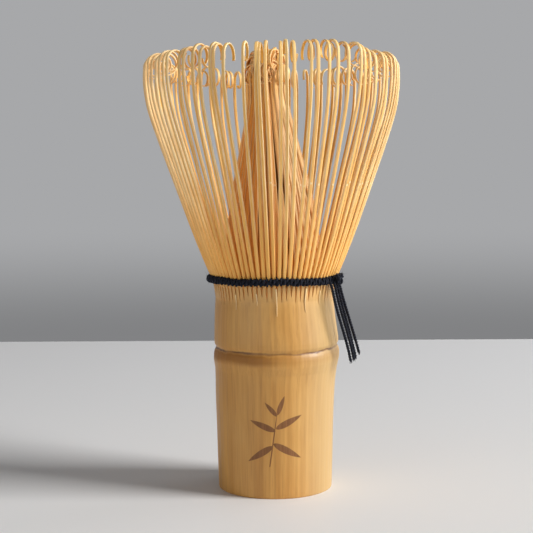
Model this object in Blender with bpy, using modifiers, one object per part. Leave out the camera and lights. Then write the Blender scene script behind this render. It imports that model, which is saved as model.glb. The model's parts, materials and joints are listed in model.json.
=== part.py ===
"""Bamboo tea whisk (chasen): a turned culm handle, two rings of carved tines and the thread that binds them.

Units are metres, +Z is up. The whisk stands on its foot at z = 0, with its axis on Z and its front towards -Y.
Azimuths are degrees about the axis, 0 at the front and growing towards +X.
"""
import math

import bmesh
import bpy
from mathutils import Matrix, Vector

# Culm handle
FOOT_RADIUS = 0.0141
FOOT_CHAMFER = 0.0004
WAIST_RADIUS = 0.0150
WAIST_HEIGHT = 0.0275
NODE_RADIUS = 0.0156
NODE_HEIGHT = 0.0323
GROOVE_RADIUS = 0.0150
GROOVE_HEIGHT = 0.0352
NECK_RADIUS = 0.01545
NECK_HEIGHT = 0.0369
RIM_RADIUS = 0.01475
RIM_HEIGHT = 0.0478
BORE_RADIUS = 0.0106
DIAPHRAGM_UNDERSIDE = 0.0313
DIAPHRAGM_TOP = 0.0338
CUP_RADIUS = 0.0117
CULM_SIDES = 56

# Tines: 16 staves, each split into five outer and five inner tines
STAVES = 16
TINES_PER_STAVE = 5
STAVE_ANGLE = 360.0 / STAVES
TINE_ANGLE = STAVE_ANGLE / TINES_PER_STAVE
ROOT_BOTTOM = 0.0481
ROOT_TOP = 0.0501
ROOT_GAP = 0.0004
HINGE_HEIGHT = 0.0513

OUTER_ROOT_INSIDE = 0.0136
OUTER_ROOT_OUTSIDE = 0.0147
OUTER_HINGE_RADIUS = 0.0147
OUTER_WIDTH = 0.00080
# centre line of an outer tine, (radius, height, thickness), up to where its curl begins
OUTER_LINE = (
    (0.01415, 0.0486, 0.0009),
    (0.01470, 0.0513, 0.0009),
    (0.01760, 0.0575, 0.0008),
    (0.02405, 0.0755, 0.0007),
    (0.02805, 0.0868, 0.0006),
    (0.03125, 0.0995, 0.0005),
)
OUTER_CURL_CENTRE = (0.02855, 0.1047)
OUTER_CURL_RADIUS = 0.00275
OUTER_CURL_THICKNESS = 0.0004
OUTER_CURL_ANGLES = (15, 75, 135, 200)
# sideways drift of each tine's top, degrees of azimuth, front half from left to right; it builds up over DRIFT_RISE
DRIFT_RISE = 0.048
FRONT_DRIFT = (
    1, 0.5, 2, 3, 4, 2, 1, -0.5, 3, 1, 1.5, 1, 1, -1.5, -2, -0.5, -1.5, -2,
    -2.5, -0.5, -3, -4, -1, -3, -2, -3, -2, 0, -2, -3, -3.5, -1.5, -3.5, -2.5, -2.5, -2.5, -3,
)
BACK_DRIFT = 1.1

INNER_ROOT_INSIDE = 0.0119
INNER_ROOT_OUTSIDE = 0.0130
INNER_HINGE_RADIUS = 0.0125
INNER_ROOT_WIDTH = 0.00070
INNER_TIP_WIDTH = 0.00022
# centre line of an inner tine, (radius, height, thickness)
INNER_LINE = (
    (0.0125, 0.0486, 0.0008),
    (0.0123, 0.0516, 0.0008),
    (0.0084, 0.0835, 0.0005),
)
INNER_HOOK_CENTRE = (0.0034, 0.10705)
INNER_HOOK_RADIUS = 0.0020
INNER_HOOK_ANGLES = (0, 60, 115, 170)
INNER_TIP = (0.0052, 0.10625, 0.0003)

# Binding thread
BAND_INSIDE = 0.01605
BAND_OUTSIDE = 0.01695
BAND_HEIGHT = 0.0520
BAND_TALL = 0.0021
BAND_SIDES = 48
KNOT_AZIMUTH = 63.0
KNOT_RADIUS = 0.01850
KNOT_HEIGHT = 0.0524
KNOT_SIZE = (0.0012, 0.0017, 0.0021)
TAIL_THREAD = 0.00085
TAIL_POINTS = 8
# each tail: azimuth at the knot, azimuth at the tip, radius at the tip, height of the top, height of the tip
TAILS = (
    (53.6, 66.0, 0.0203, 0.0500, 0.0321),
    (58.9, 69.5, 0.0207, 0.0500, 0.0325),
    (63.8, 74.0, 0.0207, 0.0499, 0.0327),
    (67.6, 77.5, 0.0213, 0.0502, 0.0337),
)
TAIL_START_RADIUS = 0.0174

BAMBOO = (0.72, 0.50, 0.24, 1.0)
TINE_STRAW = (0.83, 0.62, 0.34, 1.0)
THREAD_NAVY = (0.012, 0.015, 0.030, 1.0)


def clear_scene():
    for item in list(bpy.data.objects):
        bpy.data.objects.remove(item, do_unlink=True)


def new_collection(name):
    group = bpy.data.collections.new(name)
    bpy.context.scene.collection.children.link(group)
    return group


def make_material(name, colour, roughness):
    material = bpy.data.materials.new(name)
    material.use_nodes = True
    shader = material.node_tree.nodes["Principled BSDF"]
    shader.inputs["Base Color"].default_value = colour
    shader.inputs["Roughness"].default_value = roughness
    shader.inputs["Metallic"].default_value = 0.0
    return material


def add_object(name, data, group, material=None):
    item = bpy.data.objects.new(name, data)
    group.objects.link(item)
    if material:
        data.materials.append(material)
    return item


def turned(name, profile, sides, group, material):
    """Turn a list of (radius, height) points about the Z axis."""
    mesh = bpy.data.meshes.new(name)
    points = [(radius, 0.0, height) for radius, height in profile]
    closed = profile[0] == profile[-1]
    if closed:
        points.pop()
    edges = [(i, (i + 1) % len(points)) for i in range(len(points) - (0 if closed else 1))]
    mesh.from_pydata(points, edges, [])
    item = add_object(name, mesh, group, material)
    screw = item.modifiers.new("turn", "SCREW")
    screw.steps = sides
    screw.render_steps = sides
    screw.use_merge_vertices = True
    screw.merge_threshold = 0.00001
    screw.use_smooth_shade = True
    return item


def flat_outline(name, points, thickness):
    """Mesh of a flat outline in the XY plane, thickened evenly to both sides."""
    curve = bpy.data.curves.new(name, "CURVE")
    curve.dimensions = "2D"
    curve.fill_mode = "BOTH"
    curve.extrude = thickness / 2
    curve.render_resolution_u = 0
    spline = curve.splines.new("POLY")
    spline.points.add(len(points) - 1)
    for spot, (x, y) in zip(spline.points, points):
        spot.co = (x, y, 0.0, 1.0)
    spline.use_cyclic_u = True
    guide = bpy.data.objects.new(name, curve)
    bpy.context.scene.collection.objects.link(guide)
    bpy.context.view_layer.update()
    solid = guide.evaluated_get(bpy.context.evaluated_depsgraph_get())
    mesh = bpy.data.meshes.new_from_object(solid)
    bpy.data.objects.remove(guide, do_unlink=True)
    bpy.data.curves.remove(curve)
    bm = bmesh.new()
    bm.from_mesh(mesh)
    bmesh.ops.remove_doubles(bm, verts=bm.verts, dist=0.000001)
    bmesh.ops.recalc_face_normals(bm, faces=bm.faces)
    bm.to_mesh(mesh)
    bm.free()
    return mesh


def line_outline(line):
    """Both edges of a strip that follows (x, y, thickness) points, as one closed outline."""
    left = []
    right = []
    for i, (x, y, thickness) in enumerate(line):
        before = line[max(i - 1, 0)]
        after = line[min(i + 1, len(line) - 1)]
        along = Vector((after[0] - before[0], after[1] - before[1])).normalized()
        side = Vector((along.y, -along.x)) * (thickness / 2)
        right.append((x + side.x, y + side.y))
        left.append((x - side.x, y - side.y))
    return right + left[::-1]


def arc_line(centre, radius, angles, thickness):
    return [
        (
            centre[0] + radius * math.cos(math.radians(angle)),
            centre[1] + radius * math.sin(math.radians(angle)),
            thickness,
        )
        for angle in angles
    ]


def upright(mesh):
    """Stand an outline drawn in XY up into the XZ plane, X staying the radius."""
    mesh.transform(Matrix.Rotation(math.radians(90), 4, "X"))
    return mesh


def taper_width(mesh, low, high, width_low, width_high):
    """Narrow a tine evenly from width_low at height low to width_high at height high."""
    for vert in mesh.vertices:
        share = min(max((vert.co.z - low) / (high - low), 0.0), 1.0)
        width = width_low + (width_high - width_low) * share
        vert.co.y = math.copysign(width / 2, vert.co.y)


def sector_outline(inside, outside, angle, steps=3):
    """Closed outline of a ring sector, centred on the X axis."""
    half = math.radians(angle) / 2
    turns = [-half + 2 * half * i / steps for i in range(steps + 1)]
    outer = [(outside * math.cos(t), outside * math.sin(t)) for t in turns]
    inner = [(inside * math.cos(t), inside * math.sin(t)) for t in reversed(turns)]
    return outer + inner


def tine_drift(index):
    """Sideways drift of an outer tine's top, in degrees; index 0 is the front tine."""
    middle = len(FRONT_DRIFT) // 2
    total = STAVES * TINES_PER_STAVE
    index = (index + total // 2) % total - total // 2
    if -middle <= index <= middle:
        return FRONT_DRIFT[index + middle]
    return BACK_DRIFT * math.sin(1.9 * index)


def placed_copy(mesh, azimuth, drift):
    """Copy of a tine turned to its azimuth in the stave, its top drifting sideways above the binding."""
    copy = mesh.copy()
    for vert in copy.vertices:
        share = min(max((vert.co.z - HINGE_HEIGHT) / DRIFT_RISE, 0.0), 1.0)
        vert.co = Matrix.Rotation(math.radians(azimuth + drift * share), 3, "Z") @ vert.co
    return copy


def azimuth_point(azimuth, radius, height):
    angle = math.radians(azimuth)
    return Vector((radius * math.sin(angle), -radius * math.cos(angle), height))


def make_handle(group, material):
    wall_profile = [
        (0.0, DIAPHRAGM_TOP),
        (CUP_RADIUS - 0.0008, DIAPHRAGM_TOP),
        (CUP_RADIUS, DIAPHRAGM_TOP + 0.0008),
        (CUP_RADIUS, RIM_HEIGHT),
        (RIM_RADIUS, RIM_HEIGHT),
        (NECK_RADIUS, NECK_HEIGHT),
        (GROOVE_RADIUS, GROOVE_HEIGHT + 0.0003),
        (GROOVE_RADIUS, GROOVE_HEIGHT - 0.0003),
        (NODE_RADIUS - 0.00015, NODE_HEIGHT + 0.0018),
        (NODE_RADIUS, NODE_HEIGHT),
        (NODE_RADIUS - 0.0004, NODE_HEIGHT - 0.0015),
        (WAIST_RADIUS, WAIST_HEIGHT),
        (FOOT_RADIUS, FOOT_CHAMFER),
        (FOOT_RADIUS - FOOT_CHAMFER, 0.0),
        (BORE_RADIUS, 0.0),
        (BORE_RADIUS, DIAPHRAGM_UNDERSIDE - 0.001),
        (BORE_RADIUS - 0.001, DIAPHRAGM_UNDERSIDE),
        (0.0, DIAPHRAGM_UNDERSIDE),
    ]
    return turned("handle", wall_profile, CULM_SIDES, group, material)


def make_stave(name, azimuth, tine_parts, root_mesh, hinge_radius, group, cutters, material):
    """One stave's tines, joined to their root strip and placed with the origin on the hinge."""
    tines = bmesh.new()
    for mesh in tine_parts:
        tines.from_mesh(mesh)
        bpy.data.meshes.remove(mesh)
    to_hinge = Matrix.Translation((-hinge_radius, 0.0, -HINGE_HEIGHT))
    bmesh.ops.transform(tines, matrix=to_hinge, verts=tines.verts)
    tine_mesh = bpy.data.meshes.new(name + "_tines")
    tines.to_mesh(tine_mesh)
    tines.free()
    root = root_mesh.copy()
    root.name = name
    root.transform(to_hinge)
    stave = add_object(name, root, group, material)
    blades = add_object(name + "_tines", tine_mesh, cutters)
    blades.hide_render = True
    blades.display_type = "WIRE"
    for item in (stave, blades):
        item.location = azimuth_point(azimuth, hinge_radius, HINGE_HEIGHT)
        item.rotation_euler = (0.0, 0.0, math.radians(azimuth - 90))
    union = stave.modifiers.new("tines", "BOOLEAN")
    union.operation = "UNION"
    union.solver = "EXACT"
    union.object = blades
    return stave


def root_strip(name, inside, outside):
    gap_angle = math.degrees(ROOT_GAP / inside)
    mesh = flat_outline(name, sector_outline(inside, outside, STAVE_ANGLE - gap_angle), ROOT_TOP - ROOT_BOTTOM)
    mesh.transform(Matrix.Translation((0.0, 0.0, (ROOT_TOP + ROOT_BOTTOM) / 2)))
    return mesh


def make_outer_tines(group, cutters, material):
    line = list(OUTER_LINE)
    line += arc_line(OUTER_CURL_CENTRE, OUTER_CURL_RADIUS, OUTER_CURL_ANGLES, OUTER_CURL_THICKNESS)
    tine = upright(flat_outline("outer_tine", line_outline(line), OUTER_WIDTH))
    root = root_strip("outer_root", OUTER_ROOT_INSIDE, OUTER_ROOT_OUTSIDE)
    half = TINES_PER_STAVE // 2
    for stave in range(STAVES):
        parts = []
        for step in range(-half, half + 1):
            drift = tine_drift(stave * TINES_PER_STAVE + step)
            parts.append(placed_copy(tine, step * TINE_ANGLE, drift))
        name = f"outer_tines_{stave + 1:02d}"
        make_stave(
            name, stave * STAVE_ANGLE, parts, root, OUTER_HINGE_RADIUS, group, cutters, material
        )


def make_inner_tines(group, cutters, material):
    tip_height = INNER_TIP[1]
    straight = upright(flat_outline("inner_tine", line_outline(list(INNER_LINE) + [INNER_TIP]), INNER_ROOT_WIDTH))
    hook_line = list(INNER_LINE)
    hook_line += arc_line(INNER_HOOK_CENTRE, INNER_HOOK_RADIUS, INNER_HOOK_ANGLES, INNER_TIP[2])
    hooked = upright(flat_outline("hooked_tine", line_outline(hook_line), INNER_ROOT_WIDTH))
    for mesh in (straight, hooked):
        taper_width(mesh, HINGE_HEIGHT, tip_height, INNER_ROOT_WIDTH, INNER_TIP_WIDTH)
    root = root_strip("inner_root", INNER_ROOT_INSIDE, INNER_ROOT_OUTSIDE)
    half = TINES_PER_STAVE // 2
    for stave in range(STAVES):
        parts = []
        for step in range(-half, half + 1):
            tine = straight if step else hooked
            parts.append(placed_copy(tine, step * TINE_ANGLE, 0.0))
        name = f"inner_tines_{stave + 1:02d}"
        make_stave(
            name, stave * STAVE_ANGLE, parts, root, INNER_HINGE_RADIUS, group, cutters, material
        )


def make_band(group, material):
    """Ring of binding thread with a rounded section."""
    middle = (BAND_INSIDE + BAND_OUTSIDE) / 2
    half_deep = (BAND_OUTSIDE - BAND_INSIDE) / 2
    corners = 8
    profile = []
    for i in range(corners + 1):
        angle = math.radians(112.5 - 360 * (i % corners) / corners)
        spread = math.cos(math.radians(22.5))
        across = max(-1.0, min(1.0, math.cos(angle) / spread))
        upward = max(-1.0, min(1.0, math.sin(angle) / spread))
        profile.append((middle + half_deep * across, BAND_HEIGHT + BAND_TALL / 2 * upward))
    return turned("thread_band", profile, BAND_SIDES, group, material)


def make_knot(group, material):
    mesh = bpy.data.meshes.new("thread_knot")
    bm = bmesh.new()
    bmesh.ops.create_uvsphere(bm, u_segments=16, v_segments=10, radius=1.0)
    bmesh.ops.scale(bm, vec=KNOT_SIZE, verts=bm.verts)
    bm.to_mesh(mesh)
    bm.free()
    mesh.shade_smooth()
    knot = add_object("thread_knot", mesh, group, material)
    knot.location = azimuth_point(KNOT_AZIMUTH, KNOT_RADIUS, KNOT_HEIGHT)
    knot.rotation_euler = (0.0, 0.0, math.radians(KNOT_AZIMUTH - 90))
    return knot


def tail_route(azimuth_top, azimuth_tip, radius_tip, height_top, height_tip):
    """Points down a loose tail: it leaves the knot downwards and springs slowly away from the handle."""
    points = []
    for i in range(TAIL_POINTS):
        share = i / (TAIL_POINTS - 1)
        ease = share * share * (3 - 2 * share)
        azimuth = azimuth_top + (azimuth_tip - azimuth_top) * (0.35 * share + 0.65 * ease)
        radius = TAIL_START_RADIUS + (radius_tip - TAIL_START_RADIUS) * share
        height = height_top + (height_tip - height_top) * share
        points.append(azimuth_point(azimuth, radius, height))
    return points


def make_tails(group, material):
    for number, tail in enumerate(TAILS, start=1):
        name = f"thread_tail_{number}"
        curve = bpy.data.curves.new(name, "CURVE")
        curve.dimensions = "3D"
        curve.bevel_depth = TAIL_THREAD / 2
        curve.bevel_resolution = 2
        curve.use_fill_caps = True
        curve.render_resolution_u = 0
        route = tail_route(*tail)
        spline = curve.splines.new("POLY")
        spline.points.add(len(route) - 1)
        for spot, point in zip(spline.points, route):
            spot.co = (*point, 1.0)
        add_object(name, curve, group, material)


def main():
    clear_scene()
    whisk = new_collection("bamboo_tea_whisk")
    cutters = new_collection("construction")
    bamboo = make_material("bamboo", BAMBOO, 0.42)
    tine_bamboo = make_material("tine_bamboo", TINE_STRAW, 0.5)
    thread = make_material("thread", THREAD_NAVY, 0.9)
    make_handle(whisk, bamboo)
    make_outer_tines(whisk, cutters, tine_bamboo)
    make_inner_tines(whisk, cutters, tine_bamboo)
    make_band(whisk, thread)
    make_knot(whisk, thread)
    make_tails(whisk, thread)


main()
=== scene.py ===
import json
import math
import random

import bpy
import numpy as np
from mathutils import Euler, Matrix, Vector


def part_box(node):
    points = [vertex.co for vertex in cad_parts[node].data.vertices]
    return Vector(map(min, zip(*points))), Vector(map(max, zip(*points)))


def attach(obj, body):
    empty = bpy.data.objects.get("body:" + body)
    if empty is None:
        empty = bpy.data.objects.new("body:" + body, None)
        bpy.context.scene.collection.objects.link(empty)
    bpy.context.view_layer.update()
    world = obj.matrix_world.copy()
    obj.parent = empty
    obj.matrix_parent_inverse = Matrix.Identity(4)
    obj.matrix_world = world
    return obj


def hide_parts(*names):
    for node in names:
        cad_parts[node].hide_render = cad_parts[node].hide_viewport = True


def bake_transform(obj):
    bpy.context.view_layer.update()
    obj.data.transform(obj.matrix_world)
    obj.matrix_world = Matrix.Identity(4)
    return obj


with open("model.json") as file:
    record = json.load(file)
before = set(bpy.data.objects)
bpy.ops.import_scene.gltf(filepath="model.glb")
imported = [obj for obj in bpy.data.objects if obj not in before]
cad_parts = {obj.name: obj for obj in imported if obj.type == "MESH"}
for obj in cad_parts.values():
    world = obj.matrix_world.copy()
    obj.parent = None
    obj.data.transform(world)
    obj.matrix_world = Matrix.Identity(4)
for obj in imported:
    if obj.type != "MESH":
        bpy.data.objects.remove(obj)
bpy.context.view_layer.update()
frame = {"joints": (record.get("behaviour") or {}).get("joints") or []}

# Bamboo tea whisk: carved and split culm, curled tines and a twined cotton thread, in a plain studio.
# Metres, +Z up, front towards -Y. Azimuths are degrees about Z, 0 at the front and growing towards +X.

MM = 0.001

STAVES = 16
TINES_PER_STAVE = 5
TINES = STAVES * TINES_PER_STAVE
TINE_ANGLE = 360.0 / TINES

handle_low, handle_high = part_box("handle")
band_low, band_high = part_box("thread_band")
knot_low, knot_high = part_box("thread_knot")
BAND_Z = (band_low[2] + band_high[2]) / 2
BAND_OUTSIDE = band_high[0]
HINGE_Z = frame["joints"][0]["pos_m"][2]


# ---------------------------------------------------------------- helpers

def polar(azimuth, radius, height):
    angle = math.radians(azimuth)
    return np.array((radius * math.sin(angle), -radius * math.cos(angle), height))


def tangent(azimuth):
    angle = math.radians(azimuth)
    return np.array((math.cos(angle), math.sin(angle), 0.0))


def unit(vectors):
    return vectors / np.linalg.norm(vectors, axis=-1, keepdims=True)


def smooth_path(points, count):
    """Evenly spaced points on a smooth curve through the given ones."""
    points = np.array(points, float)
    ends = np.vstack((2 * points[0] - points[1], points, 2 * points[-1] - points[-2]))
    fine = []
    for i in range(1, len(ends) - 2):
        for t in np.linspace(0, 1, 24, endpoint=False):
            before, a, b, after = ends[i - 1:i + 3]
            fine.append(
                0.5 * (2 * a + (b - before) * t + (2 * before - 5 * a + 4 * b - after) * t * t
                       + (3 * a - before - 3 * b + after) * t ** 3)
            )
    fine.append(points[-1])
    fine = np.array(fine)
    steps = np.concatenate(([0], np.cumsum(np.linalg.norm(np.diff(fine, axis=0), axis=1))))
    spots = np.linspace(0, steps[-1], count)
    return np.column_stack([np.interp(spots, steps, fine[:, k]) for k in range(points.shape[1])])


class Builder:
    """Collects vertices and faces of one piece, with the attributes its material reads."""

    def __init__(self):
        self.verts = []
        self.faces = []
        self.grain = []
        self.tone = []
        self.skin = []
        self.count = 0

    def add(self, verts, faces, grain, tone, skin):
        self.verts.append(verts)
        self.faces += [tuple(i + self.count for i in face) for face in faces]
        self.grain.append(grain)
        self.tone.append(np.full(len(verts), tone))
        self.skin += skin
        self.count += len(verts)

    def finish(self, name, material, sharp=30.0):
        mesh = bpy.data.meshes.new(name)
        mesh.from_pydata(np.concatenate(self.verts).tolist(), [], self.faces)
        mesh.update()
        grain = mesh.attributes.new("grain", "FLOAT_VECTOR", "POINT")
        grain.data.foreach_set("vector", np.concatenate(self.grain).astype(np.float32).ravel())
        tone = mesh.attributes.new("tone", "FLOAT", "POINT")
        tone.data.foreach_set("value", np.concatenate(self.tone).astype(np.float32))
        skin = mesh.attributes.new("skin", "FLOAT", "FACE")
        skin.data.foreach_set("value", np.array(self.skin, np.float32))
        mesh.materials.append(material)
        mesh.shade_smooth()
        mesh.set_sharp_from_angle(angle=math.radians(sharp))
        piece = bpy.data.objects.new(name, mesh)
        bpy.context.scene.collection.objects.link(piece)
        return piece


# corners of a strip's section, as shares of half its width and half its thickness
EDGE = 0.42
SECTION = ((1, EDGE), (EDGE, 1), (-EDGE, 1), (-1, EDGE), (-1, -EDGE), (-EDGE, -1), (EDGE, -1), (1, -EDGE))


def add_strip(builder, centres, across, width, thickness, tone, start=0.0):
    """Sweeps a flat, bevelled section along the centres; across points along the strip's width."""
    along = unit(np.gradient(centres, axis=0))
    across = unit(across - along * np.sum(across * along, axis=1, keepdims=True))
    outward = unit(np.cross(across, along))
    length = np.concatenate(([0], np.cumsum(np.linalg.norm(np.diff(centres, axis=0), axis=1))))
    rings = []
    grain = []
    for u, v in SECTION:
        bevel_u = np.where(abs(u) < 1, np.maximum(width - thickness * (1 - EDGE), 0.3 * width) / width, 1.0)
        side = np.sign(u) * bevel_u * width / 2
        rise = v * thickness / 2
        rings.append(centres + across * side[:, None] + outward * rise[:, None])
        grain.append(np.column_stack((side + 7 * MM * start, rise, length + start)))
    count = len(centres)
    sides = len(SECTION)
    verts = np.stack(rings, axis=1).reshape(-1, 3)
    faces = []
    skin = []
    for i in range(count - 1):
        for j in range(sides):
            k = (j + 1) % sides
            faces.append((i * sides + j, (i + 1) * sides + j, (i + 1) * sides + k, i * sides + k))
            rise = SECTION[j][1] + SECTION[k][1]
            skin.append(1.0 if rise > 1.9 else 0.0 if rise < -1.9 else 0.5)
    faces.append(tuple(range(sides)))
    faces.append(tuple((count - 1) * sides + j for j in reversed(range(sides))))
    skin += [0.5, 0.5]
    builder.add(verts, faces, np.stack(grain, axis=1).reshape(-1, 3), tone, skin)


def add_tube(builder, centres, radius, sides, tone, closed=False):
    """Sweeps a round section along the centres, keeping it from twisting."""
    count = len(centres)
    if closed:
        along = unit(np.roll(centres, -1, axis=0) - np.roll(centres, 1, axis=0))
    else:
        along = unit(np.gradient(centres, axis=0))
    normal = np.zeros_like(along)
    guess = np.array((0.0, 0.0, 1.0)) if abs(along[0][2]) < 0.9 else np.array((1.0, 0.0, 0.0))
    for i in range(count):
        guess = guess - along[i] * np.dot(guess, along[i])
        guess = guess / np.linalg.norm(guess)
        normal[i] = guess
    other = np.cross(along, normal)
    radius = np.broadcast_to(radius, (count,))
    length = np.concatenate(([0], np.cumsum(np.linalg.norm(np.diff(centres, axis=0), axis=1))))
    verts = []
    grain = []
    for j in range(sides):
        turn = 2 * math.pi * j / sides
        offset = normal * math.cos(turn) + other * math.sin(turn)
        verts.append(centres + offset * radius[:, None])
        grain.append(np.column_stack((np.full(count, j / sides * MM), np.zeros(count), length)))
    verts = np.stack(verts, axis=1).reshape(-1, 3)
    faces = []
    for i in range(count if closed else count - 1):
        n = (i + 1) % count
        for j in range(sides):
            k = (j + 1) % sides
            faces.append((i * sides + j, i * sides + k, n * sides + k, n * sides + j))
    if not closed:
        faces.append(tuple(reversed(range(sides))))
        faces.append(tuple((count - 1) * sides + j for j in range(sides)))
    builder.add(verts, faces, np.stack(grain, axis=1).reshape(-1, 3), tone, [0.0] * len(faces))


# ---------------------------------------------------------------- materials

class Nodes:
    """Short calls for building one material's node tree."""

    def __init__(self, name):
        self.material = bpy.data.materials.new(name)
        self.material.use_nodes = True
        self.tree = self.material.node_tree
        self.shader = self.tree.nodes["Principled BSDF"]

    def put(self, target, value):
        if isinstance(value, bpy.types.NodeSocket):
            self.tree.links.new(value, target)
        elif value is not None:
            target.default_value = value

    def math(self, operation, a, b=None, c=None, clamp=False):
        node = self.tree.nodes.new("ShaderNodeMath")
        node.operation = operation
        node.use_clamp = clamp
        for socket, value in zip(node.inputs, (a, b, c)):
            self.put(socket, value)
        return node.outputs[0]

    def vector(self, operation, a, b=None):
        node = self.tree.nodes.new("ShaderNodeVectorMath")
        node.operation = operation
        for socket, value in zip(node.inputs, (a, b)):
            self.put(socket, value)
        return node.outputs[0]

    def attribute(self, name, output="Vector"):
        node = self.tree.nodes.new("ShaderNodeAttribute")
        node.attribute_name = name
        return node.outputs[output]

    def object_place(self):
        return self.tree.nodes.new("ShaderNodeTexCoord").outputs["Object"]

    def split(self, vector):
        node = self.tree.nodes.new("ShaderNodeSeparateXYZ")
        self.put(node.inputs[0], vector)
        return node.outputs

    def noise(self, vector, scale, detail=3.0, roughness=0.55):
        node = self.tree.nodes.new("ShaderNodeTexNoise")
        self.put(node.inputs["Vector"], vector)
        node.inputs["Scale"].default_value = scale
        node.inputs["Detail"].default_value = detail
        node.inputs["Roughness"].default_value = roughness
        return node.outputs["Fac"]

    def ramp(self, value, low, high, out_low=0.0, out_high=1.0):
        node = self.tree.nodes.new("ShaderNodeMapRange")
        node.interpolation_type = "SMOOTHSTEP"
        for socket, item in zip(node.inputs, (value, low, high, out_low, out_high)):
            self.put(socket, item)
        return node.outputs[0]

    def mix(self, share, a, b, blend="MIX"):
        node = self.tree.nodes.new("ShaderNodeMix")
        node.data_type = "RGBA"
        node.blend_type = blend
        self.put(node.inputs[0], share)
        for socket, value in zip((node.inputs[6], node.inputs[7]), (a, b)):
            if isinstance(value, tuple):
                value = (*value, 1.0)
            self.put(socket, value)
        return node.outputs[2]

    def bump(self, height, strength, distance):
        node = self.tree.nodes.new("ShaderNodeBump")
        node.inputs["Strength"].default_value = strength
        node.inputs["Distance"].default_value = distance
        self.put(node.inputs["Height"], height)
        self.put(self.shader.inputs["Normal"], node.outputs[0])


# bamboo sprig burnt into the handle's front: (across, up, angle in degrees, length, half width), millimetres
SPRIG_HEIGHT = 15.4
STEM = (-1.3, -7.6, 82, 12.6, 0.17)
SPRIG = (
    (-0.5, -2.6, 212, 7.4, 1.15),
    (-0.4, -2.0, -28, 7.8, 1.2),
    (0.1, 1.0, 158, 6.8, 1.1),
    (0.2, 1.6, 26, 7.2, 1.15),
    (0.5, 4.6, 132, 4.6, 0.8),
    (0.55, 4.9, 70, 5.0, 0.85),
)


def sprig_mask(n, across, up):
    """1 inside the burnt sprig, 0 outside; each leaf is a tapered lens along its own axis."""
    mask = None
    for x, y, angle, length, half_width in (STEM, *SPRIG):
        turn = math.radians(angle)
        shift_x = n.math("SUBTRACT", across, x * MM)
        shift_y = n.math("SUBTRACT", up, (SPRIG_HEIGHT + y) * MM)
        cos, sin = math.cos(turn), math.sin(turn)
        along = n.math("ADD", n.math("MULTIPLY", shift_x, cos), n.math("MULTIPLY", shift_y, sin))
        aside = n.math("SUBTRACT", n.math("MULTIPLY", shift_y, cos), n.math("MULTIPLY", shift_x, sin))
        share = n.math("DIVIDE", along, length * MM, clamp=True)
        low, high, gain = (0.1, 0.3, 1.3) if half_width < 0.5 else (0.55, 0.9, 1.9)
        lens = n.math("MULTIPLY", n.math("POWER", share, low), n.math("POWER", n.math("SUBTRACT", 1.0, share), high))
        room = n.math("SUBTRACT", n.math("MULTIPLY", lens, gain * half_width * MM), n.math("ABSOLUTE", aside))
        leaf = n.ramp(room, 0.0, min(0.10, half_width / 3) * MM)
        mask = leaf if mask is None else n.math("MAXIMUM", mask, leaf)
    return mask


# heights in the culm's material, metres
SCAR_LINE = 0.0352
SHAVED = (0.0452, 0.0492)
NICK_LINE = 0.0745


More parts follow.
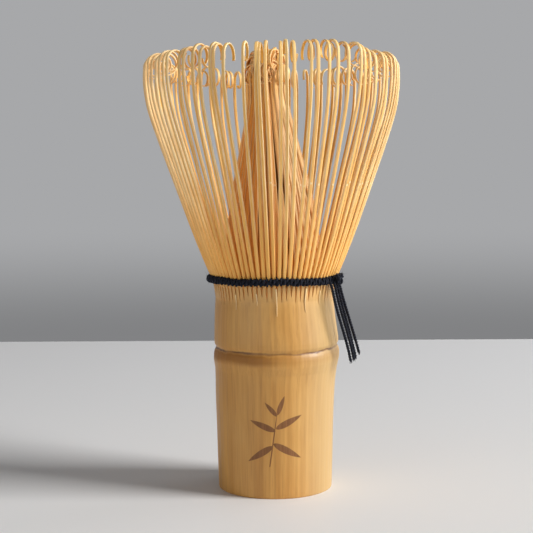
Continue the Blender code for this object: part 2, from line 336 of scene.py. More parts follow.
def bamboo_skin():
    """Waxed culm: fibres, clouds, a painted sheen on the lit side, the stained node with painted shade on its left and
    its scar line, fresh slits with painted bounce light, and the sprig.
    """
    n = Nodes("bamboo_skin")
    place = n.attribute("grain")
    x, up, depth = n.split(place)
    torn = n.attribute("tone", "Fac")
    whole = n.object_place()
    wide = n.noise(n.vector("MULTIPLY", whole, (1.0, 1.0, 0.035)), 420.0, 4.0, 0.6)
    fine = n.noise(n.vector("MULTIPLY", whole, (1.0, 1.0, 0.012)), 2300.0, 3.0, 0.6)
    cloud = n.noise(n.vector("MULTIPLY", whole, (1.0, 1.0, 0.5)), 90.0, 3.0, 0.5)
    colour = n.mix(n.ramp(wide, 0.32, 0.68), (0.505, 0.236, 0.049), (0.63, 0.325, 0.079))
    colour = n.mix(n.ramp(fine, 0.50, 0.72, 0.0, 0.40), colour, (0.39, 0.168, 0.034))
    colour = n.mix(n.ramp(cloud, 0.45, 0.75, 0.0, 0.35), colour, (0.70, 0.41, 0.130))
    # painted sheen: the side towards the window light is paler, standing in for the gloss it catches there
    side, _, _ = n.split(whole)
    painted_sheen = n.ramp(side, 0.003, 0.0135)
    colour = n.mix(n.math("MULTIPLY", painted_sheen, 0.72), colour, (0.53, 0.37, 0.165))
    # the stained ridge, with painted shade making the stain stronger on its left side away from the window, and the
    # brown scar line around the node
    wave = n.math("MULTIPLY", n.math("SUBTRACT", n.noise(whole, 260.0, 3.0), 0.5), 0.0011)
    level = n.math("ADD", up, wave)
    stain_and_shade = n.math("MULTIPLY", n.ramp(level, 0.0316, 0.0334), n.ramp(level, 0.0344, 0.0353, 1.0, 0.0))
    # painted shade: the stain is strong on the shaded left and weak on the lit right
    stain_and_shade = n.math("MULTIPLY", stain_and_shade, n.ramp(side, -0.006, 0.007, 0.95, 0.22))
    colour = n.mix(stain_and_shade, colour, (0.33, 0.125, 0.010))
    scar = n.math("ABSOLUTE", n.math("SUBTRACT", level, SCAR_LINE))
    faded = n.ramp(n.noise(whole, 150.0, 2.0), 0.35, 0.6, 0.45, 0.9)
    colour = n.mix(n.math("MULTIPLY", n.ramp(scar, 0.00006, 0.00040, 1.0, 0.0), faded), colour, (0.13, 0.050, 0.018))
    # upper end, shaved before it was split
    shaved = n.ramp(up, *SHAVED)
    colour = n.mix(n.math("MULTIPLY", shaved, 0.75), colour, (0.70, 0.40, 0.135))
    # fresh wood inside the slits, painted bright orange as painted bounce light between the fingers, and slivers torn
    # up beside them
    fresh_wood_and_bounce = n.math("MULTIPLY", n.ramp(depth, 0.01470, 0.01445), n.ramp(up, 0.0448, 0.0456))
    colour = n.mix(fresh_wood_and_bounce, colour, (0.95, 0.43, 0.080))
    colour = n.mix(torn, colour, (0.90, 0.66, 0.33))
    mark = sprig_mask(n, x, up)
    burnt = n.mix(n.ramp(fine, 0.35, 0.7), (0.17, 0.062, 0.018), (0.24, 0.095, 0.03))
    colour = n.mix(n.math("MULTIPLY", mark, 0.93), colour, burnt)
    n.put(n.shader.inputs["Base Color"], colour)
    rough = n.ramp(wide, 0.3, 0.7, 0.36, 0.48)
    rough = n.math("ADD", rough, n.math("MULTIPLY", mark, 0.25))
    rough = n.math("ADD", rough, n.math("MULTIPLY", stain_and_shade, 0.15))
    n.put(n.shader.inputs["Roughness"], rough)
    height = n.math("ADD", n.math("MULTIPLY", fine, 0.5), n.math("MULTIPLY", wide, 0.8))
    height = n.math("SUBTRACT", height, n.math("MULTIPLY", mark, 0.7))
    n.bump(height, 0.30, 0.00006)
    n.shader.inputs["Specular IOR Level"].default_value = 0.5
    return n.material


def tine_wood(name, face, painted_lit_face, flank, base, back, dark, tip_highlight):
    """Shaved bamboo: a skin side painted paler towards the window, cut flanks that are paler higher up, and a back,
    told apart by face; a pale nick and a painted highlight on the curls.
    """
    n = Nodes(name)
    place = n.attribute("grain")
    tone = n.attribute("tone", "Fac")
    skin = n.attribute("skin", "Fac")
    fibre = n.noise(n.vector("MULTIPLY", place, (1.0, 1.0, 0.03)), 3800.0, 3.0, 0.6)
    broad = n.noise(n.vector("MULTIPLY", place, (0.3, 0.3, 1.0)), 160.0, 2.0, 0.5)
    side, _, along = n.split(n.object_place())
    # painted light: the skin side is paler on the +X side, which the window lights
    face = n.mix(n.ramp(side, -0.003, 0.004), face, painted_lit_face)
    pale = n.mix(n.ramp(along, 0.053, 0.082), base, flank)
    colour = n.mix(n.ramp(skin, 0.0, 0.5), back, pale)
    colour = n.mix(n.ramp(skin, 0.5, 1.0), colour, face)
    colour = n.mix(n.ramp(fibre, 0.40, 0.72, 0.0, 0.45), colour, dark)
    colour = n.mix(n.ramp(broad, 0.35, 0.7, 0.0, 0.25), colour, dark)
    colour = n.mix(n.ramp(tone, 0.0, 1.0, 0.0, 0.30), colour, dark)
    # pale nick where the shaving of the upper half begins, painted fainter on the shaded left side
    level = n.math("SUBTRACT", along, n.math("MULTIPLY", tone, 0.0012))
    nick_and_shade = n.math("ABSOLUTE", n.math("SUBTRACT", level, NICK_LINE))
    nick_and_shade = n.math("MULTIPLY", n.ramp(nick_and_shade, 0.00010, 0.00035, 0.55, 0.0), n.ramp(tone, 0.1, 0.5))
    # painted shade: the nick fades on the left, away from the window
    nick_and_shade = n.math("MULTIPLY", nick_and_shade, n.ramp(side, -0.007, 0.003, 0.1, 1.0))
    outside = n.ramp(skin, 0.5, 1.0)
    colour = n.mix(n.math("MULTIPLY", nick_and_shade, outside), colour, (0.95, 0.80, 0.52))
    # painted highlight: the outer faces are paler on the curls, where the top light falls; the wood there is also
    # scraped thinner
    scraped_and_highlight = n.math("MULTIPLY", n.ramp(along, 0.092, 0.104), outside)
    colour = n.mix(n.math("MULTIPLY", scraped_and_highlight, 0.4), colour, tip_highlight)
    n.put(n.shader.inputs["Base Color"], colour)
    n.put(n.shader.inputs["Roughness"], n.ramp(fibre, 0.3, 0.7, 0.42, 0.58))
    n.bump(fibre, 0.25, 0.00003)
    return n.material


def cotton_thread():
    """Dyed cotton: nearly black navy, with slubs and a faint cool sheen."""
    n = Nodes("cotton_thread")
    place = n.attribute("grain")
    slub = n.noise(place, 2600.0, 4.0, 0.65)
    fibre = n.noise(n.object_place(), 9000.0, 2.0, 0.6)
    colour = n.mix(n.ramp(slub, 0.35, 0.7), (0.003, 0.0035, 0.006), (0.012, 0.015, 0.028))
    n.put(n.shader.inputs["Base Color"], colour)
    n.shader.inputs["Roughness"].default_value = 0.85
    n.shader.inputs["Specular IOR Level"].default_value = 0.25
    n.shader.inputs["Sheen Weight"].default_value = 0.12
    n.shader.inputs["Sheen Roughness"].default_value = 0.45
    n.shader.inputs["Sheen Tint"].default_value = (0.45, 0.52, 0.75, 1.0)
    n.bump(n.math("ADD", slub, fibre), 0.6, 0.00006)
    return n.material


# ---------------------------------------------------------------- handle

# outer profile of the culm, (height, radius) in millimetres, foot to thread
CULM = (
    (0.0, 13.9), (0.12, 14.05), (0.4, 14.12), (9.0, 14.38), (15.0, 14.52), (21.0, 14.75), (26.5, 14.95),
    (29.6, 15.18), (31.0, 15.44), (31.9, 15.62), (32.6, 15.66), (33.6, 15.64), (34.4, 15.50), (34.95, 15.20),
    (35.25, 15.06), (35.6, 15.24), (36.1, 15.48), (37.2, 15.50), (40.0, 15.27), (44.5, 14.92), (47.2, 14.70),
    (49.0, 14.92), (51.2, 15.25),
)
WALL_BORE = 10.6
WALL_CUP = 11.7
SPLIT = 14.2
DIAPHRAGM_LOW = 31.3
DIAPHRAGM_HIGH = 33.8
SLIT_START = 44.5
SLIT_TOP = 51.0
COLUMNS = 4
# slivers torn up at the slits: azimuth, top, bottom, sideways swerve in degrees
TORN = (
    (1.6, 50.4, 43.9, 0.7), (30.2, 50.4, 44.6, -0.8), (-16.5, 49.2, 46.4, 0.5), (47.0, 49.6, 46.2, -0.5),
    (-38.5, 48.8, 45.2, 0.6), (96.0, 50.0, 45.0, 0.7), (151.0, 50.0, 44.2, -0.6), (-127.0, 49.6, 45.0, 0.6),
)
HANDLE_HEIGHTS = np.concatenate((
    (0.0, 0.12, 0.4), np.linspace(1.5, 28.5, 28), np.linspace(29.0, 38.0, 37), np.linspace(38.6, SLIT_START, 8),
))
FINGER_HEIGHTS = np.linspace(SLIT_START, SLIT_TOP, 27)[1:]
FINGER_RADIUS = 14.5
TORN_STEPS = 10

# inside of the culm, (radius, height) in millimetres: down the cup, and up the foot's bore
CUP_PROFILE = (
    (SPLIT, SLIT_START), (SPLIT - 0.12, SLIT_START), (SPLIT + 0.45, SLIT_TOP - 0.3), (WALL_CUP, SLIT_TOP - 0.3),
    (WALL_CUP, SLIT_START), (WALL_CUP, 38.0), (WALL_CUP, DIAPHRAGM_HIGH + 0.8),
    (WALL_CUP - 0.3, DIAPHRAGM_HIGH + 0.2), (WALL_CUP - 0.9, DIAPHRAGM_HIGH), (5.0, DIAPHRAGM_HIGH + 0.15),
    (0.0, DIAPHRAGM_HIGH + 0.3),
)
BORE_PROFILE = (
    (0.0, DIAPHRAGM_LOW - 0.3), (5.0, DIAPHRAGM_LOW - 0.2), (WALL_BORE - 0.9, DIAPHRAGM_LOW),
    (WALL_BORE - 0.2, DIAPHRAGM_LOW - 0.4), (WALL_BORE, DIAPHRAGM_LOW - 1.2), (WALL_BORE, 15.0), (WALL_BORE, 0.15),
    (WALL_BORE + 0.12, 0.0),
)


def node_level(azimuth, height):
    """Height within the profile, in millimetres: the node dips towards the front."""
    angle = math.radians(azimuth)
    dip = 0.48 * math.cos(angle) - 0.20 * math.sin(angle) - 0.05
    dip += 0.12 * math.sin(3 * angle + 0.4) + 0.05 * math.sin(11 * angle)
    return height + dip * math.exp(-((height - 34.0) / 3.5) ** 2)


def culm_radius(azimuth, height):
    """Outer radius of the culm in millimetres: not quite round, and its node is not quite level."""
    angle = math.radians(azimuth)
    radius = float(np.interp(node_level(azimuth, height), *zip(*CULM)))
    radius *= 1 + 0.004 * math.cos(2 * (angle - 0.5))
    radius += 0.018 * math.sin(47 * angle + 2 * math.sin(3 * angle)) + 0.012 * math.sin(83 * angle + 1)
    return radius


def culm_bend(height):
    """How far the culm's centre strays towards +X near its node, in millimetres."""
    return 0.50 * math.exp(-((height - 34.4) / 7.4) ** 2)


def make_handle(material):
    """The culm: outer wall, slit fingers at the top, cup, diaphragm and bore, with slivers torn up at the slits."""
    rng = random.Random(80)
    slit_end = [rng.uniform(45.6, 48.4) for _ in range(TINES)]
    slit_gap = [rng.uniform(0.46, 0.66) for _ in range(TINES)]
    verts = []
    faces = []
    grain = []
    lookup = {}

    def gap(boundary, height):
        end = slit_end[boundary % TINES]
        if height <= end:
            return 0.0
        return slit_gap[boundary % TINES] * ((height - end) / (SLIT_TOP - end)) ** 0.75

    def vertex(azimuth, radius, height):
        azimuth = azimuth % 360.0
        key = (round(azimuth, 3) % 360.0, round(radius, 4), round(height, 4))
        if key not in lookup:
            lookup[key] = len(verts)
            spot = polar(azimuth, radius * MM, height * MM)
            spot[0] += culm_bend(height) * MM
            verts.append(spot)
            turned = (azimuth + 180.0) % 360.0 - 180.0
            grain.append((math.radians(turned) * radius * MM, node_level(azimuth, height) * MM, radius * MM))
        return lookup[key]

    def column_azimuth(tine, column, height):
        left = gap(tine - 1, height) / 2 / FINGER_RADIUS
        right = gap(tine, height) / 2 / FINGER_RADIUS
        low = (tine - 0.5) * TINE_ANGLE + math.degrees(left)
        high = (tine + 0.5) * TINE_ANGLE - math.degrees(right)
        return low + (high - low) * column / COLUMNS

    def quad(a, b, c, d):
        corners = []
        for corner in (a, b, c, d):
            if corner not in corners:
                corners.append(corner)
        if len(corners) > 2:
            faces.append(tuple(corners))

    heights = list(HANDLE_HEIGHTS) + list(FINGER_HEIGHTS)
    for tine in range(TINES):
        for column in range(COLUMNS):
            for low, high in zip(heights, heights[1:]):
                corners = []
                for c, z in ((column, low), (column + 1, low), (column + 1, high), (column, high)):
                    azimuth = column_azimuth(tine, c, z)
                    plain = (tine - 0.5 + c / COLUMNS) * TINE_ANGLE
                    corners.append(vertex(azimuth, culm_radius(plain, z), z))
                quad(*corners)
        # inside of the finger, its flanks and its top
        inside = [z for z in heights if z >= SLIT_START]
        for low, high in zip(inside, inside[1:]):
            for column in range(COLUMNS):
                a = vertex(column_azimuth(tine, column, low), SPLIT, low)
                b = vertex(column_azimuth(tine, column + 1, low), SPLIT, low)
                c = vertex(column_azimuth(tine, column + 1, high), SPLIT, high)
                d = vertex(column_azimuth(tine, column, high), SPLIT, high)
                quad(d, c, b, a)
            for side, column in ((-1, 0), (1, COLUMNS)):
                boundary = tine - 1 if side < 0 else tine
                if gap(boundary, high) == 0:
                    continue
                plain = (tine + side * 0.5) * TINE_ANGLE
                a = vertex(column_azimuth(tine, column, low), culm_radius(plain, low), low)
                b = vertex(column_azimuth(tine, column, low), SPLIT, low)
                c = vertex(column_azimuth(tine, column, high), SPLIT, high)
                d = vertex(column_azimuth(tine, column, high), culm_radius(plain, high), high)
                if side > 0:
                    quad(a, b, c, d)
                else:
                    quad(d, c, b, a)
        for column in range(COLUMNS):
            z = SLIT_TOP
            left = (tine - 0.5 + column / COLUMNS) * TINE_ANGLE
            right = (tine - 0.5 + (column + 1) / COLUMNS) * TINE_ANGLE
            a = vertex(column_azimuth(tine, column, z), culm_radius(left, z), z)
            b = vertex(column_azimuth(tine, column + 1, z), culm_radius(right, z), z)
            c = vertex(column_azimuth(tine, column + 1, z), SPLIT, z)
            d = vertex(column_azimuth(tine, column, z), SPLIT, z)
            quad(a, b, c, d)
    # cup, diaphragm and bore, turned
    step = TINE_ANGLE / COLUMNS
    first = -TINE_ANGLE / 2
    for i in range(TINES * COLUMNS):
        left = first + i * step
        right = first + (i + 1) * step
        for profile in (CUP_PROFILE, BORE_PROFILE):
            for (r0, z0), (r1, z1) in zip(profile, profile[1:]):
                a = vertex(left if r0 else 0.0, r0, z0)
                b = vertex(right if r0 else 0.0, r0, z0)
                c = vertex(right if r1 else 0.0, r1, z1)
                d = vertex(left if r1 else 0.0, r1, z1)
                quad(a, b, c, d)
        a = vertex(left, WALL_BORE + 0.12, 0.0)
        b = vertex(right, WALL_BORE + 0.12, 0.0)
        c = vertex(right, culm_radius(first + (i + 1) * step, 0.0), 0.0)
        d = vertex(left, culm_radius(first + i * step, 0.0), 0.0)
        quad(a, b, c, d)
    builder = Builder()
    builder.add(np.array(verts), faces, np.array(grain), 0.0, [1.0] * len(faces))
    for azimuth, top, bottom, swerve in TORN:
        line = []
        for t in np.linspace(0.0, 1.0, TORN_STEPS):
            height = top + (bottom - top) * t
            at = azimuth + swerve * math.sin(2.4 * t)
            lift = 0.10 + 0.16 * math.sin(math.pi * t) * (1 - t)
            spot = polar(at, (culm_radius(azimuth, height) + lift) * MM, height * MM)
            spot[0] += culm_bend(height) * MM
            line.append(spot)
        width = np.linspace(0.36, 0.10, TORN_STEPS) * MM
        aside = np.tile(tangent(azimuth), (TORN_STEPS, 1))
        add_strip(builder, np.array(line), aside, width, np.full(TORN_STEPS, 0.14) * MM, 1.0)
    piece = builder.finish("culm_handle", material, sharp=38.0)
    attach(piece, "handle")
    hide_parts("handle")


# ---------------------------------------------------------------- tines

# sideways drift of each outer tine's top in degrees, front half from left to right
FRONT_DRIFT = (
    0.2, 0.5, 2, 3, 4, 2, 1, -0.5, 3, 1, 1.5, 1, 1, -1.5, -1.5, 2.0, 2.6, -0.4,
    -2.3, -0.5, -3, -4, -1, -3, -2, -3, -2, 0, -2, -3, -3.5, -1.5, -3.5, -2.5, -2.5, -2.5, -3,
)
BACK_DRIFT = 1.1
DRIFT_RISE = 48.0

# how much higher or lower the curls stand around the ring, (azimuth in degrees, rise in millimetres)
TOP_RISE = (
    (-180, -1.4), (-120, -1.2), (-90, -1.1), (-60, -0.9), (-40, -0.35), (-18, -0.2), (0, 0.0), (15, 0.2), (28, 0.9),
    (36, 0.7), (44, -0.3), (55, -0.7), (90, -0.9), (120, -1.1), (180, -1.4),
)

# tines whose curl winds past a full turn, with the turn in degrees
LONG_TURNS = {-17: 430, -15: 455, -14: 410, -10: 395, 5: 440, 7: 460, 8: 425, 12: 400, 16: 430}

# centre line of an outer tine, (radius, height) in millimetres, from behind the thread to the curl
OUTER_LINE = (
    (14.4, 50.2), (14.95, 51.6), (15.98, 53.8), (17.55, 57.5), (20.40, 65.0), (24.10, 75.5), (28.15, 87.0),
    (30.48, 94.4), (31.34, 99.4), (31.56, 102.6), (31.46, 105.2),
)
OUTER_CURL = 2.75
OUTER_TURNS = (185, 205, 230, 255, 290, 320, 345, 370)
OUTER_WIDTH = ((0, 0.88), (0.06, 0.93), (0.20, 0.92), (0.45, 0.82), (0.65, 0.76), (0.8, 0.74), (1, 0.68))
OUTER_THICKNESS = ((0, 0.85), (0.1, 0.78), (0.4, 0.64), (0.62, 0.52), (0.75, 0.32), (1, 0.20))
# the same of an inner tine
INNER_LINE = (
    (12.35, 50.0), (12.3, 51.5), (11.8, 57.5), (10.2, 71.0), (7.6, 83.5), (5.2, 95.0), (4.8, 99.2), (4.9, 102.4),
)
INNER_LAYERS = (0.0, 1.0, 0.45, 1.5, 0.2)
INNER_WIDTH = ((0, 0.85), (0.2, 0.85), (0.5, 0.76), (0.7, 0.66), (1, 0.55))
INNER_THICKNESS = ((0, 0.7), (0.3, 0.55), (0.6, 0.36), (1, 0.2))
# how far the tops stray towards +X as a whole, millimetres
OUTER_LEAN = -0.40
INNER_LEAN = -1.5
# share that is left of a curl's lean where it would meet the next stave
EDGE_LEAN = 0.15


def from_front(index):
    """The tine's number counted from the front, negative to the left."""
    return (index + TINES // 2) % TINES - TINES // 2


def tine_drift(index):
    """How far the top of a tine strays round the ring, in degrees."""
    middle = len(FRONT_DRIFT) // 2
    index = from_front(index)
    if -middle <= index <= middle:
        return FRONT_DRIFT[index + middle]
    return BACK_DRIFT * math.sin(1.9 * index)


def taper(share, *pairs):
    """Value at each share along a tine, between the given (share, value) pairs."""
    return np.interp(share, *zip(*pairs))


def curl_points(start, heading, radius, tighten, turn, count):
    """A spiral in the radial plane that carries on from the end of a straight line."""
    points = []
    centre = start - radius * np.array((math.cos(heading), math.sin(heading)))
    for i in range(1, count + 1):
        share = i / count
        angle = heading + math.radians(turn) * share
        reach = radius * (1 - tighten * share)
        points.append(centre + reach * np.array((math.cos(angle), math.sin(angle))))
    return points


def add_outer_tine(builder, index, local):
    """An outer tine from behind the thread out to its curl; local gives its own small differences."""
    azimuth = index * TINE_ANGLE
    drift = tine_drift(index)
    rise = np.interp(from_front(index) * TINE_ANGLE, *zip(*TOP_RISE)) + local.uniform(-0.4, 0.3)
    bow = local.gauss(0.0, 0.22)
    line = []
    for r, z in OUTER_LINE:
        bulge = bow * math.sin(math.pi * min(1, max(0, (z - 51) / 52)))
        line.append((r + bulge, z + rise * max(0, (z - 60) / 44)))
    straight = smooth_path(line, 44)
    ahead = straight[-1] - straight[-2]
    heading = math.atan2(-ahead[0], ahead[1])
    turn = LONG_TURNS.get(from_front(index), local.choice(OUTER_TURNS))
    radius = OUTER_CURL + local.uniform(-0.35, 0.25)
    curl = curl_points(straight[-1], heading, radius, 0.10 + 0.16 * turn / 400, turn, 12 + turn // 12)
    flat = np.vstack((straight, curl))
    aside = np.zeros(len(flat))
    slant = local.uniform(-0.9, 0.9) + (0.55 if turn > 330 else 0.0) * local.choice((-1, 1))
    # a curl at a stave's edge hardly leans towards the next stave, which it would meet when the ring gathers
    place = (index + TINES_PER_STAVE // 2) % TINES_PER_STAVE
    if (place == 0 and slant < 0) or (place == TINES_PER_STAVE - 1 and slant > 0):
        slant *= EDGE_LEAN
    aside[len(straight):] = slant * np.linspace(0, 1, len(curl)) ** 1.3
    wander = local.uniform(-0.25, 0.25) * np.sin(np.linspace(0, math.pi, len(flat)) * local.uniform(0.7, 1.6))
    share = np.clip((flat[:, 1] - HINGE_Z / MM) / DRIFT_RISE, 0, 1)
    centres = []
    across = []
    twist = math.radians(local.gauss(0.0, 7.0))
    for (r, z), side, bend, s in zip(flat, aside, wander, share):
        at = azimuth + drift * s
        side_dir = tangent(at)
        out_dir = polar(at, 1.0, 0.0)
        centres.append(polar(at, r * MM, z * MM) + side_dir * (side + bend * s) * MM)
        across.append(side_dir * math.cos(twist * s) + out_dir * math.sin(twist * s))
    centres = np.array(centres)
    centres[:, 0] += OUTER_LEAN * MM * share ** 1.5
    along = np.linspace(0, 1, len(flat))
    width = taper(along, *OUTER_WIDTH) * MM
    thickness = taper(along, *OUTER_THICKNESS) * MM
    width *= local.uniform(0.92, 1.06)
    add_strip(builder, centres, np.array(across), width, thickness, local.random(), start=index * 0.13)


def add_inner_tine(builder, index, local):
    """An inner tine, closing to the bunch in its layer, with its hook swung aside."""
    azimuth = (index + 0.5) * TINE_ANGLE
    layer = INNER_LAYERS[index % len(INNER_LAYERS)] + local.uniform(0, 0.3)
    top = 2.6 * layer - 0.9 + local.gauss(0.0, 0.25)
    line = []
    for r, z in INNER_LINE:
        s = max(0.0, (z - 55) / 46)
        line.append((max(r - layer * s, 1.2), z + top * s ** 2))
    straight = smooth_path(line, 30)
    drift = local.gauss(0.0, 3.0)
    ahead = straight[-1] - straight[-2]
    heading = math.atan2(-ahead[0], ahead[1])
    radius = local.uniform(2.6, 3.0)
    turn = local.uniform(320, 500)
    curl = curl_points(straight[-1], heading, radius, 0.35, turn, 10 + int(turn / 14))
    flat = np.vstack((straight, curl))
    share = np.clip((flat[:, 1] - 52) / 48, 0, 1)
    aside = np.zeros(len(flat))
    aside[len(straight):] = local.uniform(-0.9, 0.9) * np.linspace(0, 1, len(curl))
    swing = math.radians(local.gauss(58.0, 8.0))
    centres = []
    across = []
    pivot = straight[-1]
    for k, ((r, z), side, s) in enumerate(zip(flat, aside, share)):
        at = azimuth + drift * s
        out_dir = polar(at, 1.0, 0.0)
        side_dir = tangent(at)
        if k >= len(straight):
            turn_dir = out_dir * math.cos(swing) + side_dir * math.sin(swing)
            cross_dir = side_dir * math.cos(swing) - out_dir * math.sin(swing)
            spot = polar(at, pivot[0] * MM, z * MM) + turn_dir * (r - pivot[0]) * MM + cross_dir * side * MM
            side_dir = cross_dir
        else:
            spot = polar(at, r * MM, z * MM)
        centres.append(spot)
        across.append(side_dir)
    centres = np.array(centres)
    centres[:, 0] += INNER_LEAN * MM * share ** 1.5
    along = np.linspace(0, 1, len(flat))
    width = taper(along, *INNER_WIDTH) * MM
    thickness = taper(along, *INNER_THICKNESS) * MM
    add_strip(builder, centres, np.array(across), width, thickness, local.random(), start=index * 0.17)


def make_tines(ring, add_tine, material):
    """One piece for each stave, built in place of the stave's part, which it hides."""
    for stave in range(STAVES):
        builder = Builder()
        for step in range(-(TINES_PER_STAVE // 2), TINES_PER_STAVE // 2 + 1):
            index = stave * TINES_PER_STAVE + step
            local = random.Random(1000 * len(ring) + index % TINES)
            add_tine(builder, index, local)
        number = f"{stave + 1:02d}"
        piece = builder.finish(f"{ring}_tines_visible_{number}", material)
        node = f"{ring}_tines_{number}"
        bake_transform(piece)
        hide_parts(node)


# ---------------------------------------------------------------- thread

def yarn(builder, path, radius, pitch, closed=False, sides=7, tone=0.5):
    """Two plies twisted about a path."""
    path = np.array(path)
    if closed:
        along = unit(np.roll(path, -1, axis=0) - np.roll(path, 1, axis=0))
        steps = np.linalg.norm(np.roll(path, -1, axis=0) - path, axis=1)
        length = np.concatenate(([0], np.cumsum(steps)[:-1]))
        total = steps.sum()
        pitch = total / round(total / pitch)
    else:
        along = unit(np.gradient(path, axis=0))
        length = np.concatenate(([0], np.cumsum(np.linalg.norm(np.diff(path, axis=0), axis=1))))
    up = np.array((0.0, 0.0, 1.0))
    side = np.cross(along, up)
    weak = np.linalg.norm(side, axis=1) < 0.15
    side[weak] = np.cross(along[weak], np.array((0.7, 0.7, 0.0)))
    side = unit(side)
    normal = np.cross(side, along)
    ply = radius * 0.56
    for start in (0.0, math.pi):
        turn = 2 * math.pi * length / pitch + start
        offset = side * np.cos(turn)[:, None] + normal * np.sin(turn)[:, None]
        add_tube(builder, path + offset * (radius - ply), ply, sides, tone, closed)


def add_fuzz(builder, path, radius, count, local, longest=1.1):
    """Loose cotton fibres standing off a yarn."""
    path = np.array(path)
    for _ in range(count):
        i = local.randrange(2, len(path) - 2)
        root = path[i]
        away = np.array([local.gauss(0, 1) for _ in range(3)])
        away = away / np.linalg.norm(away)
        curve = np.array([local.gauss(0, 0.5) for _ in range(3)])
        reach = local.uniform(0.3, longest) * MM
        points = []
        for k in range(6):
            t = k / 5
            points.append(root + away * (radius * 0.8 + reach * t) + curve * reach * t * t * 0.7)
        add_tube(builder, np.array(points), np.linspace(0.020, 0.006, 6) * MM, 3, 0.5)


ROPE_STRAND = 0.50 * MM
ROPE_DEEP = 0.36 * MM
ROPE_TALL = 0.56 * MM
INSIDE_STRAND = 0.62 * MM
INSIDE_RADIUS = 13.75 * MM


def rope_path(phase, steps):
    """A strand twined round the ring, in front of every second tine."""
    middle = BAND_OUTSIDE - ROPE_STRAND - ROPE_DEEP
    points = []
    for i in range(steps):
        share = i / steps
        azimuth = 360.0 * share
        turn = 2 * math.pi * share * TINES / 2 + phase
        angle = math.radians(azimuth)
        wobble = 0.10 * MM * math.sin(5 * angle + 1.0) + 0.06 * MM * math.sin(13 * angle)
        radius = middle + ROPE_DEEP * math.cos(turn)
        height = BAND_Z + ROPE_TALL * math.sin(turn) + wobble
        points.append(polar(azimuth, radius, height))
    return points


def make_band(material):
    """Two strands twined round the outer tines, and a third inside them."""
    local = random.Random(5)
    builder = Builder()
    for phase in (0.0, math.pi):
        path = rope_path(phase, 1600)
        yarn(builder, path, ROPE_STRAND, 1.5 * MM, closed=True)
        add_fuzz(builder, path, ROPE_STRAND, 170, local)
    inside = []
    for i in range(640):
        azimuth = 360.0 * i / 640
        wave = 0.12 * MM * math.sin(math.radians(azimuth) * 40)
        inside.append(polar(azimuth, INSIDE_RADIUS, BAND_Z + 0.55 * MM + wave))
    yarn(builder, inside, INSIDE_STRAND, 2.2 * MM, closed=True)
    piece = builder.finish("twined_thread", material, sharp=80.0)
    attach(piece, "handle")
    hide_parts("thread_band")


KNOT_STEPS = 260


def make_knot(material):
    """An overhand knot drawn tight over the band, with one short end sticking out."""
    centre = (np.array(knot_low) + np.array(knot_high)) / 2
    azimuth = math.degrees(math.atan2(centre[0], -centre[1]))
    out_dir = polar(azimuth, 1.0, 0.0)
    side_dir = tangent(azimuth)
    up = np.array((0.0, 0.0, 1.0))
    centre = centre - out_dir * 0.7 * MM
    path = []
    for i in range(KNOT_STEPS):
        t = 2 * math.pi * i / KNOT_STEPS
        x = math.sin(t) + 1.7 * math.sin(2 * t)
        y = math.cos(t) - 1.7 * math.cos(2 * t)
        z = -math.sin(3 * t)
        path.append(centre + (side_dir * x * 0.50 + up * y * 0.46 + out_dir * z * 0.36) * MM)
    builder = Builder()
    local = random.Random(9)
    yarn(builder, path, 0.44 * MM, 1.4 * MM, closed=True)
    add_fuzz(builder, path, 0.45 * MM, 60, local)
    middle = centre + side_dir * 1.1 * MM + up * 0.1 * MM
    stub = smooth_path([centre, middle, centre + side_dir * 2.0 * MM + up * 0.35 * MM], 40)
    yarn(builder, stub, 0.40 * MM, 1.4 * MM)
    piece = builder.finish("tied_knot", material, sharp=80.0)
    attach(piece, "handle")
    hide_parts("thread_knot")


# each tail: azimuth at the knot and at the tip in degrees, radius at the tip, height of the top and of the tip, all as
# in part.py but in millimetres
TAILS = (
    (53.6, 66.0, 20.3, 50.0, 32.1),
    (58.9, 69.5, 20.7, 50.0, 32.5),
    (63.8, 74.0, 20.7, 49.9, 32.7),
    (67.6, 77.5, 21.3, 50.2, 33.7),
)
TAIL_START_RADIUS = 17.4


def make_tails(material):
    """Four loose ends of two-ply thread, cut square."""
    local = random.Random(21)
    for number, (top_az, tip_az, tip_radius, top_z, tip_z) in enumerate(TAILS, start=1):
        points = []
        for i in range(9):
            share = i / 8
            ease = share * share * (3 - 2 * share)
            azimuth = top_az + (tip_az - top_az) * (0.35 * share + 0.65 * ease)
            radius = TAIL_START_RADIUS + (tip_radius - TAIL_START_RADIUS) * share
            wave = 0.16 * math.sin(7 * share + number * 1.7)
            points.append(polar(azimuth + wave, radius * MM, (top_z + (tip_z - top_z) * share) * MM))
        rooted = [points[0] + np.array((-0.5, 0.4, 1.6)) * MM, points[0] + np.array((-0.25, 0.2, 0.8)) * MM]
        path = smooth_path(rooted + points, 190)
        builder = Builder()
        yarn(builder, path, 0.40 * MM, 1.35 * MM)
        add_fuzz(builder, path, 0.38 * MM, 46, local, longest=0.8)
        for _ in range(16):
            end = path[-1] + np.array((local.uniform(-1, 1), local.uniform(-1, 1), 0)) * 0.25 * MM
            drop = np.array((local.uniform(-0.2, 0.2), local.uniform(-0.2, 0.2), local.uniform(0.2, 0.6)))
            fray = smooth_path([end + np.array((0, 0, 0.5)) * MM, end, end - drop * MM], 6)
            add_tube(builder, fray, 0.03 * MM, 3, 0.5)
        piece = builder.finish(f"loose_tail_{number}", material, sharp=80.0)
        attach(piece, "handle")
        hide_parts(f"thread_tail_{number}")


# ---------------------------------------------------------------- studio

TABLE_HALF = 0.2715
ROOM_TINT = (0.985, 0.995, 1.02)
LIGHT_AIM = 0.05


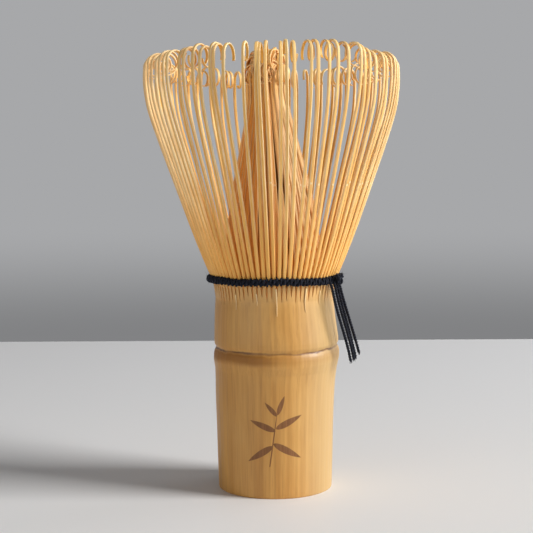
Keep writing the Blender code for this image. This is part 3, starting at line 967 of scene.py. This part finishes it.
def make_table():
    """A pale table top, which ends behind the whisk."""
    n = Nodes("pale_table")
    grey = n.noise(n.object_place(), 9.0, 2.0)
    near = n.ramp(n.split(n.object_place())[1], 0.27, -0.08, 0.0, 1.0)
    tone = n.mix(near, (0.77, 0.77, 0.78), (0.82, 0.82, 0.82))
    n.put(n.shader.inputs["Base Color"], n.mix(n.math("MULTIPLY", grey, 0.12), tone, (0.72, 0.72, 0.73)))
    n.shader.inputs["Roughness"].default_value = 0.55
    mesh = bpy.data.meshes.new("table_top")
    wide = 3 * TABLE_HALF
    corners = [(-wide, -TABLE_HALF, 0), (wide, -TABLE_HALF, 0), (wide, TABLE_HALF, 0), (-wide, TABLE_HALF, 0)]
    mesh.from_pydata(corners, [], [(0, 1, 2, 3)])
    mesh.materials.append(n.material)
    table = bpy.data.objects.new("table_top", mesh)
    bpy.context.scene.collection.objects.link(table)


def make_room():
    """A grey room: darker just below the horizon, paler above it and dim overhead."""
    world = bpy.data.worlds.new("grey_room")
    bpy.context.scene.world = world
    world.use_nodes = True
    tree = world.node_tree
    background = tree.nodes["Background"]
    place = tree.nodes.new("ShaderNodeTexCoord")
    split = tree.nodes.new("ShaderNodeSeparateXYZ")
    tree.links.new(place.outputs["Generated"], split.inputs[0])
    shade = tree.nodes.new("ShaderNodeMath")
    shade.operation = "MULTIPLY"
    # each: from height, to height, brightness below, brightness above
    for socket, levels in zip(shade.inputs, ((-0.125, -0.035, 0.225, 0.393), (0.25, 0.65, 1.0, 0.25))):
        ramp = tree.nodes.new("ShaderNodeMapRange")
        ramp.interpolation_type = "SMOOTHSTEP"
        tree.links.new(split.outputs["Z"], ramp.inputs[0])
        for item, level in zip(ramp.inputs[1:5], levels):
            item.default_value = level
        tree.links.new(ramp.outputs[0], socket)
    tint = tree.nodes.new("ShaderNodeVectorMath")
    tint.operation = "MULTIPLY"
    tint.inputs[1].default_value = ROOM_TINT
    tree.links.new(shade.outputs[0], tint.inputs[0])
    tree.links.new(tint.outputs[0], background.inputs["Color"])
    background.inputs["Strength"].default_value = 1.0


def add_light(name, azimuth, elevation, distance, size, power, colour=(1.0, 1.0, 1.0)):
    """A soft rectangular light that points at the middle of the whisk."""
    light = bpy.data.lights.new(name, "AREA")
    light.shape = "RECTANGLE"
    light.size = size[0]
    light.size_y = size[1]
    light.energy = power
    light.color = colour
    lamp = bpy.data.objects.new(name, light)
    bpy.context.scene.collection.objects.link(lamp)
    height = distance * math.sin(math.radians(elevation))
    flat = distance * math.cos(math.radians(elevation))
    lamp.location = polar(azimuth, flat, height + LIGHT_AIM)
    lamp.rotation_mode = "QUATERNION"
    direction = np.array((0.0, 0.0, LIGHT_AIM)) - np.array(lamp.location)
    lamp.rotation_quaternion = Vector(direction).to_track_quat("-Z", "Y")


CAMERA_PLACE = (0.0, -0.29656, 0.07577)
CAMERA_LENS = 80.24
CAMERA_SHIFT = -0.1126
CAMERA_DOWN = 1.163
CAMERA_YAW = 0.345
CAMERA_ROLL = -0.35


def make_camera():
    """The photograph's view: nearly level, with a small shift down."""
    camera = bpy.data.cameras.new("camera")
    camera.sensor_width = 36.0
    camera.lens = CAMERA_LENS
    camera.shift_y = CAMERA_SHIFT
    camera.clip_start = 0.01
    eye = bpy.data.objects.new("camera", camera)
    bpy.context.scene.collection.objects.link(eye)
    eye.location = CAMERA_PLACE
    pitch = math.radians(90 - CAMERA_DOWN)
    yaw = math.radians(CAMERA_YAW)
    roll = math.radians(CAMERA_ROLL)
    rotation = Euler((0, 0, yaw)).to_matrix() @ Euler((pitch, 0, 0)).to_matrix() @ Euler((0, 0, roll)).to_matrix()
    eye.rotation_euler = rotation.to_euler()
    bpy.context.scene.camera = eye


make_camera()
make_table()
make_room()
add_light("window", 76, 29, 1.7, (0.7, 0.8), 37.5, (1.0, 0.99, 0.975))
add_light("far_window", 122, 16, 1.7, (1.0, 0.9), 5.0)
add_light("room", -45, 7, 1.5, (1.4, 0.7), 3.3)
bpy.context.scene.view_settings.view_transform = "Standard"

skin = bamboo_skin()
# each wood's paler skin colour for the window side is painted light, and its curl colour is a painted highlight
outer_wood = tine_wood(
    "tine_wood", face=(0.92, 0.490, 0.108), painted_lit_face=(0.95, 0.575, 0.180), flank=(1.0, 0.81, 0.46),
    base=(0.98, 0.54, 0.130), back=(0.95, 0.55, 0.095), dark=(0.76, 0.34, 0.052), tip_highlight=(0.95, 0.70, 0.30),
)
inner_wood = tine_wood(
    "inner_tine_wood", face=(0.86, 0.345, 0.030), painted_lit_face=(0.98, 0.68, 0.30), flank=(0.98, 0.70, 0.32),
    base=(0.92, 0.38, 0.040), back=(0.85, 0.34, 0.028), dark=(0.56, 0.19, 0.02), tip_highlight=(0.97, 0.62, 0.15),
)
cotton = cotton_thread()

make_handle(skin)
make_tines("outer", add_outer_tine, outer_wood)
make_tines("inner", add_inner_tine, inner_wood)
make_band(cotton)
make_knot(cotton)
make_tails(cotton)
